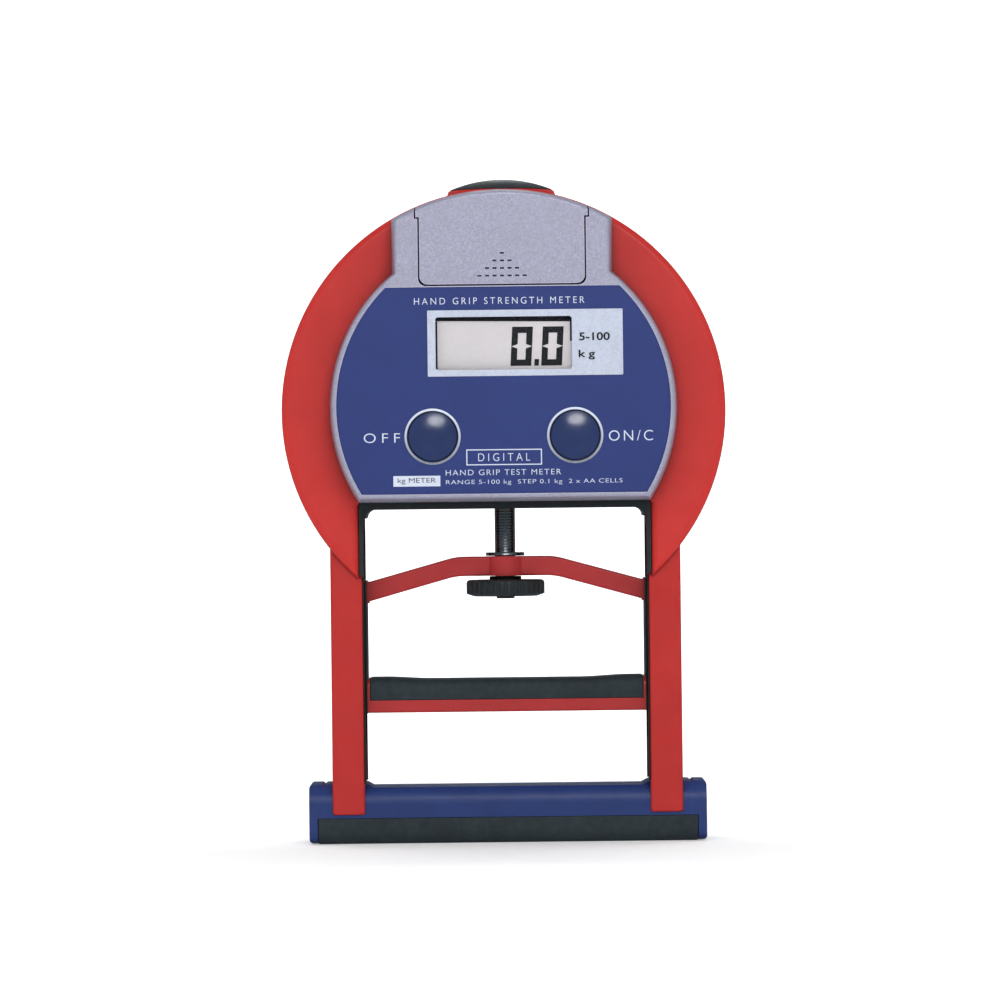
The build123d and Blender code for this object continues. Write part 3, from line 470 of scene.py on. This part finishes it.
def finger_cushion():
    """The foam-rubber pad on the grip bar, raised towards its ends."""
    low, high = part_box("finger_pad")
    lip = 0.7 * MM
    middle = 1 * MM
    top_r, low_r, end_r = 3.0 * MM, 0.5 * MM, 0.5 * MM
    sections = []
    for x, lost in stations(low.x, high.x, end_r):
        rise = max(0.0, min(1.0, (abs(x) - PAD_RISE_START) / PAD_RISE_LENGTH))
        top = high.z - lip + lip * rise**2 * (3 - 2 * rise)
        half = high.y - lost
        top -= lost
        points = [*corner_arc((half - top_r, top - top_r), top_r, 0, 90),
                  *corner_arc((-half + top_r, top - top_r), top_r, 90, 180),
                  *corner_arc((-half + low_r, low.z + low_r), low_r, 180, 270, 3),
                  *corner_arc((half - low_r, low.z + low_r), low_r, 270, 360, 3)]
        section = []
        for y, z in points:
            push = uneven((x, y, z)) if z > low.z + 2 * low_r else 0.0
            inward = math.copysign(push, y) if abs(y) > middle else 0.0
            section.append((x, y - inward, z + push / 2))
        sections.append(section)
    return swept("finger_cushion", sections, "grip", lambda count: [tuple(range(count))])


def palm_cushion():
    """The rubber channel under the handle: a flat sole, round lower corners, a soft upper lip."""
    low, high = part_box("palm_pad")
    corner_r, wall, sole, lip_r, end_r = 4.5 * MM, 1.8 * MM, 3.0 * MM, 0.6 * MM, 0.8 * MM
    sections = []
    for x, lost in stations(low.x, high.x, end_r):
        half = high.y - lost
        floor = low.z + lost
        outer = [(-half + lip_r, high.z), *corner_arc((-half + lip_r, high.z - lip_r), lip_r, 90, 180, 3),
                 *corner_arc((-half + corner_r, floor + corner_r), corner_r, 180, 270, 10),
                 *corner_arc((half - corner_r, floor + corner_r), corner_r, 270, 360, 10),
                 *corner_arc((half - lip_r, high.z - lip_r), lip_r, 0, 90, 3), (half - lip_r, high.z)]
        inside = high.y - wall
        inner = [(inside, high.z), (inside, low.z + sole), (-inside, low.z + sole), (-inside, high.z)]
        section = []
        for y, z in outer:
            push = uneven((x, y, z)) if z > low.z + 1 * MM and abs(y) > inside else 0.0
            section.append((x, y - math.copysign(push, y), z))
        section += [(x, y, z) for y, z in inner]
        sections.append(section)

    def ends(count):
        side = (count - 4) // 2
        yield (*range(side), count - 2, count - 1)
        yield (side - 1, side, count - 3, count - 2)
        yield (*range(side, count - 4), count - 4, count - 3)

    return swept("palm_cushion", sections, "frame", ends)


BUTTON_R = 8.4 * MM
BUTTON_PROUD = 1.4 * MM
FLANGE_Y = (4.7 * MM, 5.7 * MM)
STEM_R = 2 * MM
DOME_STEPS = 16
CAP_TURNS = 96


def button_cap(node, body):
    """A button turned about Y: a shallow dome, a straight side, a flange and a stem behind it."""
    low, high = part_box(node)
    centre_x, centre_z = (low.x + high.x) / 2, (low.z + high.z) / 2
    sphere_r = (BUTTON_R**2 + BUTTON_PROUD**2) / (2 * BUTTON_PROUD)
    widest = math.asin(BUTTON_R / sphere_r)
    flange_r = (high.x - low.x) / 2
    dome = [widest * k / DOME_STEPS for k in range(1, DOME_STEPS + 1)]
    profile = [(sphere_r * math.sin(a), low.y + sphere_r * (1 - math.cos(a))) for a in dome]
    profile += [(BUTTON_R, low.y + FLANGE_Y[0]), (flange_r, low.y + FLANGE_Y[0]),
                (flange_r, low.y + FLANGE_Y[1]), (STEM_R, low.y + FLANGE_Y[1]), (STEM_R, high.y)]
    turns = CAP_TURNS
    verts = [(centre_x, low.y, centre_z), (centre_x, high.y, centre_z)]
    for radius, y in profile:
        for k in range(turns):
            angle = 2 * math.pi * k / turns
            verts.append((centre_x + radius * math.cos(angle), y, centre_z + radius * math.sin(angle)))
    last = 2 + turns * (len(profile) - 1)
    faces = []
    for k in range(turns):
        after = (k + 1) % turns
        faces += [(0, 2 + k, 2 + after), (1, last + after, last + k)]
        for ring in range(2, last, turns):
            faces.append((ring + k, ring + turns + k, ring + turns + after, ring + after))
    look = LOOKS["button_blue"]
    piece = mesh_object(node + "_cap", verts, faces, look, body, "button_blue", smooth=True)
    piece.data.set_sharp_from_angle(angle=SHARP_ANGLE)
    return piece


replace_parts(button_cap("off_button", "off_key"), "off_button")
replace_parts(button_cap("on_button", "on_key"), "on_button")
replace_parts(finger_cushion(), "finger_pad")
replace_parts(palm_cushion(), "palm_pad")


# ---------------------------------------------------------------- main spring
def weighing_spring():
    """The main spring, copied from its CAD mesh into a piece of its own on the frame."""
    mesh = nodes["main_spring"].data
    verts = [tuple(vertex.co) for vertex in mesh.vertices]
    faces = [tuple(polygon.vertices) for polygon in mesh.polygons]
    look = LOOKS["spring_steel"]
    piece = mesh_object("weighing_spring", verts, faces, look, "frame", "spring_steel", smooth=True)
    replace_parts(piece, "main_spring")
    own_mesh(piece)


weighing_spring()


# ---------------------------------------------------------------- print on the face
PRINT_THICK = 0.06 * MM
white_ink = film("white_ink", srgb(206, 214, 230), rough=0.5)
black_ink = film("black_ink", srgb(26, 28, 34), rough=0.5)
PANEL_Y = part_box("face_panel")[0].y
BEZEL_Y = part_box("lcd_bezel")[0].y
ON_PANEL = dict(front=PANEL_Y - PRINT_THICK, look=white_ink, slot="button_ring")
ON_BEZEL = dict(front=BEZEL_Y - PRINT_THICK, look=black_ink, slot="black_plastic")


def lettering(name, text, centre, width, height, front, look, slot, spacing=1.0, bold=0.0):
    """Printed text that faces -Y, fitted to a centre, width and height in millimetres."""
    curve = bpy.data.curves.new(name, "FONT")
    curve.body = text
    curve.space_character = spacing
    curve.extrude = 0.5
    curve.offset = bold
    curve.resolution_u = 6
    temporary = bpy.data.objects.new(name + "_curve", curve)
    bpy.context.scene.collection.objects.link(temporary)
    bpy.context.view_layer.update()
    data = bpy.data.meshes.new_from_object(temporary)
    bpy.data.objects.remove(temporary)
    low = [min(v.co[k] for v in data.vertices) for k in range(3)]
    high = [max(v.co[k] for v in data.vertices) for k in range(3)]
    size = [h - l for l, h in zip(low, high)]
    for v in data.vertices:
        across = (v.co.x - low[0]) / size[0] - 0.5
        up = (v.co.y - low[1]) / size[1] - 0.5
        depth = 1 - (v.co.z - low[2]) / size[2]
        x, z = centre[0] + across * width, centre[1] + up * height
        v.co = (x * MM, front + depth * PRINT_THICK, z * MM)
    return finished(name, data, look, "frame")


def printed(name, outlines, front, look, slot):
    """Flat print made of (x, z) outlines in millimetres."""
    in_metres = [[(x * MM, z * MM) for x, z in outline] for outline in outlines]
    slabs = [slab(outline, front, front + PRINT_THICK) for outline in in_metres]
    return mesh_object(name, *joined(slabs), look, "frame", slot)


def box_outline(centre, width, height, line):
    """The four sides of a printed box."""
    x, z = centre
    yield rectangle((x, z + (height - line) / 2), width, line)
    yield rectangle((x, z - (height - line) / 2), width, line)
    yield rectangle((x - (width - line) / 2, z), line, height - 2 * line)
    yield rectangle((x + (width - line) / 2, z), line, height - 2 * line)


off_low, off_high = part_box("off_button")
LABEL_Z = (off_low.z + off_high.z) / 2 / MM - 0.3
KIND_CENTRE = (0.0, 134.6)
BLOCK_CENTRE = (-30.2, 126.6)
ON_BLOCK = dict(front=ON_PANEL["front"] - PRINT_THICK, look=black_ink, slot="black_plastic")
FACTS = "RANGE 5-100 kg  STEP 0.1 kg  2 x AA CELLS"

lettering("print_off", "OFF", (-42.1, LABEL_Z), 12.5, 3.3, **ON_PANEL, spacing=1.5, bold=-0.008)
lettering("print_on_clear", "ON/C", (43.8, LABEL_Z), 15.2, 3.6, **ON_PANEL, spacing=1.3, bold=-0.008)
lettering("print_heading", "HAND GRIP STRENGTH METER", (-1.1, 188.6), 58.8, 2.3, **ON_PANEL,
          spacing=1.45, bold=-0.006)
lettering("print_range", "5-100", (31.6, 175.9), 10.6, 2.8, **ON_BEZEL, bold=0.02)
lettering("print_unit", "k g", (28.9, 169.6), 5.6, 3.4, **ON_BEZEL, bold=0.02)
lettering("print_kind", "DIGITAL", KIND_CENTRE, 17.9, 2.7, **ON_PANEL, spacing=1.5, bold=-0.01)
printed("print_kind_box", box_outline(KIND_CENTRE, 26.1, 5.5, 0.36), **ON_PANEL)
lettering("print_purpose", "HAND GRIP TEST METER", (-0.3, 129.4), 39.8, 1.9, **ON_PANEL,
          spacing=1.2, bold=-0.008)
lettering("print_facts", FACTS, (10.3, 125.9), 60.9, 1.9, **ON_PANEL, spacing=1.1, bold=-0.008)
printed("print_block", [rectangle(BLOCK_CENTRE, 16.2, 3.65)], **ON_PANEL)
lettering("print_block_text", "kg METER", BLOCK_CENTRE, 13.2, 2.2, **ON_BLOCK, bold=-0.006)


# ---------------------------------------------------------------- display digits
DIGIT_WIDTH = 7.2
DIGIT_HEIGHT = 13.5
STROKE = 2.15
SLANT = 0.055
NOTCH = 0.75
DIGIT_CENTRES = ((6.5, 172.8), (17.1, 172.8))
POINT_CENTRE = (11.6, 167.2)
POINT_SIZE = (1.6, 2.3)


def slanted(centre, points):
    """An outline moved to a centre and leaned to the right."""
    return [(centre[0] + x + SLANT * z, centre[1] + z) for x, z in points]


def zero(centre):
    """A seven-segment nought: six bars with mitred ends and a notch at mid-height."""
    w, h, t = DIGIT_WIDTH / 2, DIGIT_HEIGHT / 2, STROKE
    for up in (-1, 1):
        yield slanted(centre, [(-w, up * h), (w, up * h), (w - t, up * (h - t)), (-w + t, up * (h - t))])
        for side in (-1, 1):
            yield slanted(centre, [(side * w, up * h), (side * w, 0.0),
                                   (side * (w - t), up * NOTCH), (side * (w - t), up * (h - t))])


ON_DISPLAY = dict(front=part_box("lcd_module")[0].y - PRINT_THICK, look=black_ink, slot="black_plastic")
noughts = [bar for centre in DIGIT_CENTRES for bar in zero(centre)]
point = slanted(POINT_CENTRE, rectangle((0, 0), *POINT_SIZE))
printed("display_digits", [*noughts, point], **ON_DISPLAY)

# A painted shadow on the display, drawn in black ink: a strip along the top of its opening and a short
# strip down each side, where the window's edge shades it.
SHADOW_LEFT, SHADOW_LEFT_EDGE, SHADOW_RIGHT_EDGE, SHADOW_RIGHT = -23.4, -22.6, 23.2, 24.0
SHADOW_TOP, SHADOW_BAND_Z, SHADOW_LEAN = 183.2, 181.5, 0.3
band = [(SHADOW_LEFT, SHADOW_TOP), (SHADOW_LEFT, SHADOW_BAND_Z + SHADOW_LEAN),
        (SHADOW_RIGHT, SHADOW_BAND_Z - SHADOW_LEAN), (SHADOW_RIGHT, SHADOW_TOP)]
left_strip = rectangle(((SHADOW_LEFT + SHADOW_LEFT_EDGE) / 2, 173.4), SHADOW_LEFT_EDGE - SHADOW_LEFT, 16.6)
right_strip = rectangle(((SHADOW_RIGHT_EDGE + SHADOW_RIGHT) / 2, 178.0), SHADOW_RIGHT - SHADOW_RIGHT_EDGE, 7.0)
printed("display_shadow", [band, left_strip, right_strip], **ON_DISPLAY)


# ---------------------------------------------------------------- studio
def studio():
    """A round pale floor that curves up into a wall on every side."""
    look = Shader("studio_white")
    shade, light = (0.84, 0.84, 0.84, 1), (0.88, 0.88, 0.88, 1)
    look.colour(look.blend(look.between(look.noise(6), 0, 1), shade, light))
    look.set(Roughness=0.9, Specular_IOR_Level=0.1, Emission_Color=(1, 1, 1, 1), Emission_Strength=0.25)
    floor_r, bend, top, steps, turns = 2.5, 1.1, 3.4, 14, 96
    profile = []
    for k in range(steps + 1):
        angle = math.pi / 2 * k / steps
        profile.append((floor_r + bend * math.sin(angle), bend * (1 - math.cos(angle))))
    profile.append((floor_r + bend, top))
    verts = [(0, 0, 0)]
    for radius, z in profile:
        for k in range(turns):
            angle = 2 * math.pi * k / turns
            verts.append((radius * math.cos(angle), radius * math.sin(angle), z))
    faces = [(0, 1 + k, 1 + (k + 1) % turns) for k in range(turns)]
    for ring in range(1, 1 + turns * (len(profile) - 1), turns):
        for k in range(turns):
            after = (k + 1) % turns
            faces.append((ring + k, ring + turns + k, ring + turns + after, ring + after))
    data = bpy.data.meshes.new("studio_floor")
    data.from_pydata(verts, [], faces)
    for polygon in data.polygons:
        polygon.use_smooth = True
    floor = bpy.data.objects.new("studio_floor", data)
    bpy.context.scene.collection.objects.link(floor)
    data.materials.append(look.material)
    floor.visible_glossy = False


def area_light(name, place, target, size, power, glossy=True, shape="RECTANGLE"):
    """A soft lamp aimed at a target. The camera doesn't see it, and gloss shows it only if glossy."""
    light = bpy.data.lights.new(name, "AREA")
    light.shape = shape
    light.size, light.size_y = size
    light.energy = power
    lamp = bpy.data.objects.new(name, light)
    lamp.location = place
    aim = Vector(target) - Vector(place)
    lamp.rotation_euler = aim.to_track_quat("-Z", "Y").to_euler()
    lamp.visible_glossy = glossy
    lamp.visible_camera = False
    bpy.context.scene.collection.objects.link(lamp)


def camera():
    """Square to the display, level with the notch, with a slight roll."""
    aim = Vector((-1.6 * MM, 0, 119.8 * MM))
    distance = 2.0
    field = 349 * MM
    plane_y = -17 * MM
    roll_angle = math.radians(0.65)
    data = bpy.data.cameras.new("camera")
    data.sensor_width = 36
    data.lens = data.sensor_width * (distance + plane_y) / field
    eye = bpy.data.objects.new("camera", data)
    roll = Matrix.Rotation(roll_angle, 4, "Y")
    level = Matrix.Rotation(math.pi / 2, 4, "X")
    eye.matrix_world = Matrix.Translation(aim + Vector((0, -distance, 0))) @ roll @ level
    bpy.context.scene.collection.objects.link(eye)
    bpy.context.scene.camera = eye


def surroundings(colour, strength):
    """Even, slightly cool light from all round."""
    world = bpy.data.worlds.new("studio")
    world.use_nodes = True
    background = world.node_tree.nodes["Background"]
    background.inputs["Color"].default_value = colour
    background.inputs["Strength"].default_value = strength
    bpy.context.scene.world = world


studio()
camera()
BODY_MIDDLE = (0, 0, 0.13)
BODY_TOP = (0, 0, 0.23)
BACK_WALL = (0, 3.6, 0.5)
area_light("key", (0.10, -1.4, 0.80), BODY_MIDDLE, (0.68, 0.44), 7.2, shape="ELLIPSE")
area_light("fill", (-0.6, -1.7, 0.2), BODY_MIDDLE, (0.9, 0.9), 1.8, glossy=False)
area_light("top", (0, 0.0, 1.5), BODY_MIDDLE, (0.8, 0.6), 1.0)
area_light("rim", (0.0, 1.6, 0.8), BODY_TOP, (0.1, 0.06), 0.35)
area_light("backdrop", (0, 1.2, 2.8), BACK_WALL, (3.0, 0.6), 90, glossy=False)
surroundings((0.82, 0.92, 1, 1), 0.18)
bpy.context.scene.view_settings.view_transform = "Standard"
